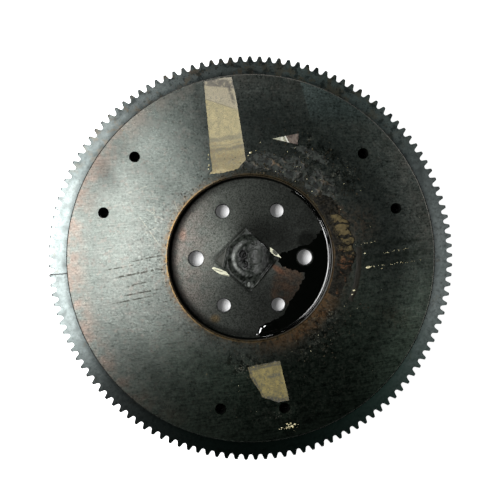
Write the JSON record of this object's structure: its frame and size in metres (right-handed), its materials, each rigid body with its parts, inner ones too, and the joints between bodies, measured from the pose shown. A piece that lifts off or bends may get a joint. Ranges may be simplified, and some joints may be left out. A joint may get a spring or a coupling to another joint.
{
  "type": "flywheel",
  "caption": "Clutch flywheel with shrunk-on starter ring gear, recessed web with crankshaft bolt holes, tapped clutch cover holes and a pilot ball bearing under a peelable sheet.",
  "frame": {"origin": "On the spin axis, at the rear face of the rim that the flywheel lies on", "axes": "+Z is the spin axis and points to the clutch side; the two larger crankshaft bolt holes lie along X and the dowel lies along -Y"},
  "size_m": [0.3318, 0.3318, 0.0323],
  "materials": {
    "coated_iron": "turned cast iron under a thin dark rust-preventive wax, brown stains at the rim",
    "gear_steel": "turned steel under the same dark film, worn bare on the teeth",
    "dowel_steel": "ground steel, oily",
    "bearing_steel": "ground and honed bearing steel",
    "ball_steel": "polished bearing balls",
    "cage_polymer": "moulded cage, greased",
    "seal_rubber": "moulded black rubber",
    "cover_sheet": "oil-soaked dark film, creased and partly glossy",
    "cream_tape": "clean masking tape backing",
    "masking_tape": "old oil-stained masking tape"
  },
  "bodies": {
    "flywheel": {"flywheel_body": "coated_iron", "ring_gear": "gear_steel", "crank_dowel": "dowel_steel", "pilot_bearing_outer_ring": "bearing_steel", "pilot_bearing_front_seal": "seal_rubber", "pilot_bearing_rear_seal": "seal_rubber", "face_tape_long": "masking_tape", "face_tape_short": "masking_tape", "face_tape_scrap": "masking_tape"},
    "pilot_inner": {"pilot_bearing_inner_ring": "bearing_steel"},
    "pilot_cage": {"pilot_bearing_cage": "cage_polymer", "pilot_bearing_balls": "ball_steel"},
    "cover_sheet": {"bore_cover_sheet": "cover_sheet", "cover_tape_left": "cream_tape", "cover_tape_right": "cream_tape"}
  },
  "joints": [
    {"name": "pilot_spin", "type": "hinge", "parent": "flywheel", "child": "pilot_inner", "pos_m": [0, 0, 0.0158], "axis": [0, 0, 1], "continuous": true},
    {"name": "pilot_cage_orbit", "type": "hinge", "parent": "flywheel", "child": "pilot_cage", "pos_m": [0, 0, 0.0158], "axis": [0, 0, 1], "continuous": true},
    {"name": "cover_sheet_peel", "type": "hinge", "parent": "flywheel", "child": "cover_sheet", "pos_m": [-0.03, -0.0015, 0.0192], "axis": [-0.7071, -0.7071, 0], "range_deg": [0, 110]}
  ],
  "couplings": [
    {"joint": "pilot_cage_orbit", "follows": "pilot_spin", "ratio": 0.36473}
  ]
}
